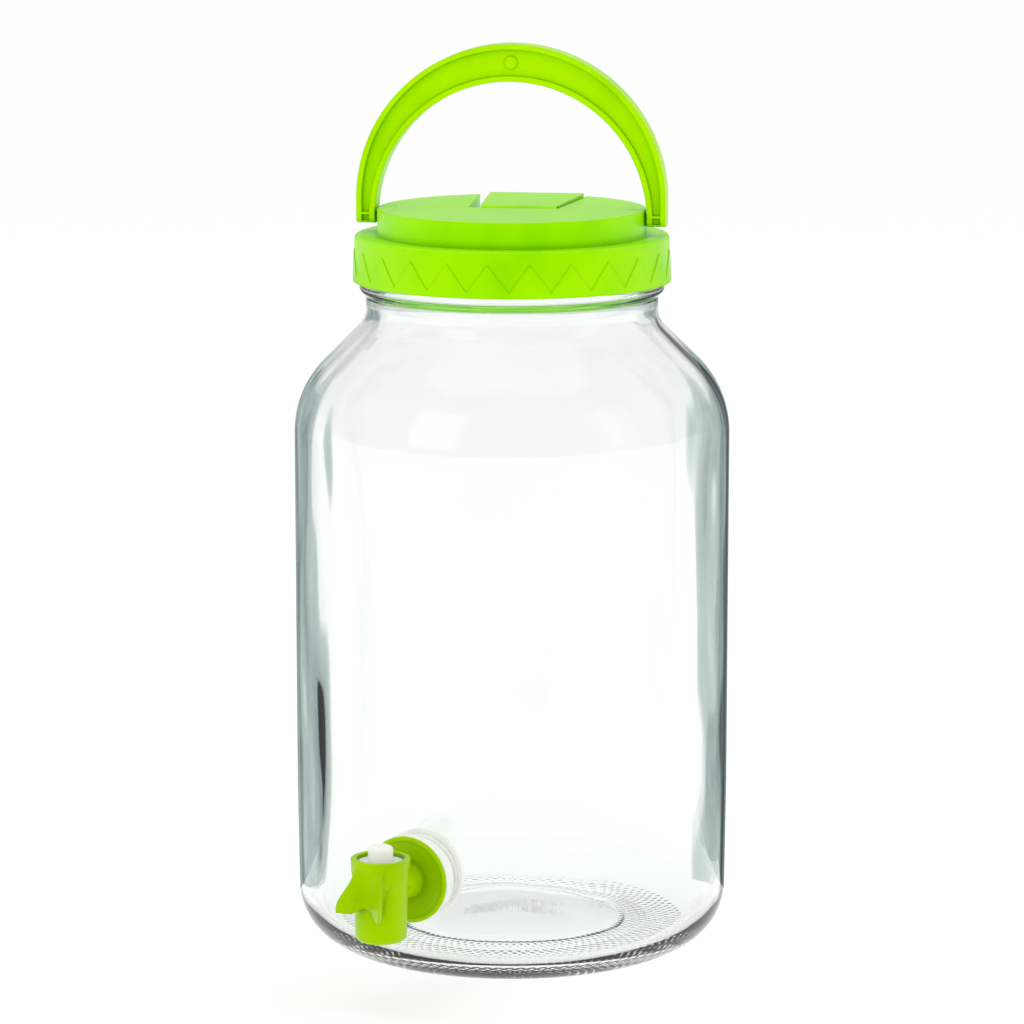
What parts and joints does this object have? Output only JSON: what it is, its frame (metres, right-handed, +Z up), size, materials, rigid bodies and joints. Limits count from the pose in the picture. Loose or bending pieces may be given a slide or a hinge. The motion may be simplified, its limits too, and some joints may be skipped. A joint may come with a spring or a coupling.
{
  "type": "drinks dispenser jar",
  "caption": "Clear glass dispenser jar with a screw lid, an arched bail handle, a hinged pour flap and a press tap low on its side.",
  "frame": {"origin": "on the jar's axis, in the plane that its foot ring stands on", "axes": "+Z up along the jar's axis, -Y towards the tap, +X to the right as the tap is faced"},
  "size_m": [0.165, 0.2106, 0.3441],
  "materials": {
    "glass": "clear soda-lime glass, glossy",
    "lime_lid": "moulded lime polypropylene, semi-gloss",
    "lime_tap": "moulded lime polypropylene, gloss",
    "white_plastic": "natural white moulded plastic, satin",
    "white_rubber": "white silicone rubber, satin",
    "pin_steel": "plain steel wire"
  },
  "bodies": {
    "jar": {"glass_jar": "glass", "tap_body": "lime_tap", "tap_washer_outer": "white_rubber", "tap_washer_inner": "white_rubber", "tap_nut": "white_plastic", "tap_diaphragm": "white_rubber"},
    "tap_plunger": {"tap_button": "white_plastic", "tap_valve_disc": "white_rubber"},
    "lid_carrier": {"lid_gasket": "white_rubber"},
    "lid": {"lid": "lime_lid", "flap_hinge_pin": "pin_steel"},
    "handle": {"handle": "lime_lid"},
    "flap": {"pour_flap": "lime_lid"}
  },
  "joints": [
    {"name": "lid_rise", "type": "slide", "parent": "jar", "child": "lid_carrier", "axis": [0, 0, 1], "range_m": [0, 0.0204]},
    {"name": "lid_turn", "type": "hinge", "parent": "lid_carrier", "child": "lid", "pos_m": [0, 0, 0.2706], "axis": [0, 0, 1], "range_deg": [0, 1440]},
    {"name": "handle_swing", "type": "hinge", "parent": "lid", "child": "handle", "pos_m": [0, 0, 0.2786], "axis": [0.9511, 0.309, 0], "range_deg": [-90, 90]},
    {"name": "flap_open", "type": "hinge", "parent": "lid", "child": "flap", "pos_m": [-0.00071, 0.00219, 0.2812], "axis": [0.9511, 0.309, 0], "range_deg": [0, 90]},
    {"name": "tap_press", "type": "slide", "parent": "jar", "child": "tap_plunger", "axis": [0, 0, -1], "range_m": [0, 0.0026], "stiffness_N_per_m": 900, "springref_m": -0.0008}
  ],
  "couplings": [
    {"joint": "lid_rise", "follows": "lid_turn", "m_per_rad": 0.00080851}
  ]
}
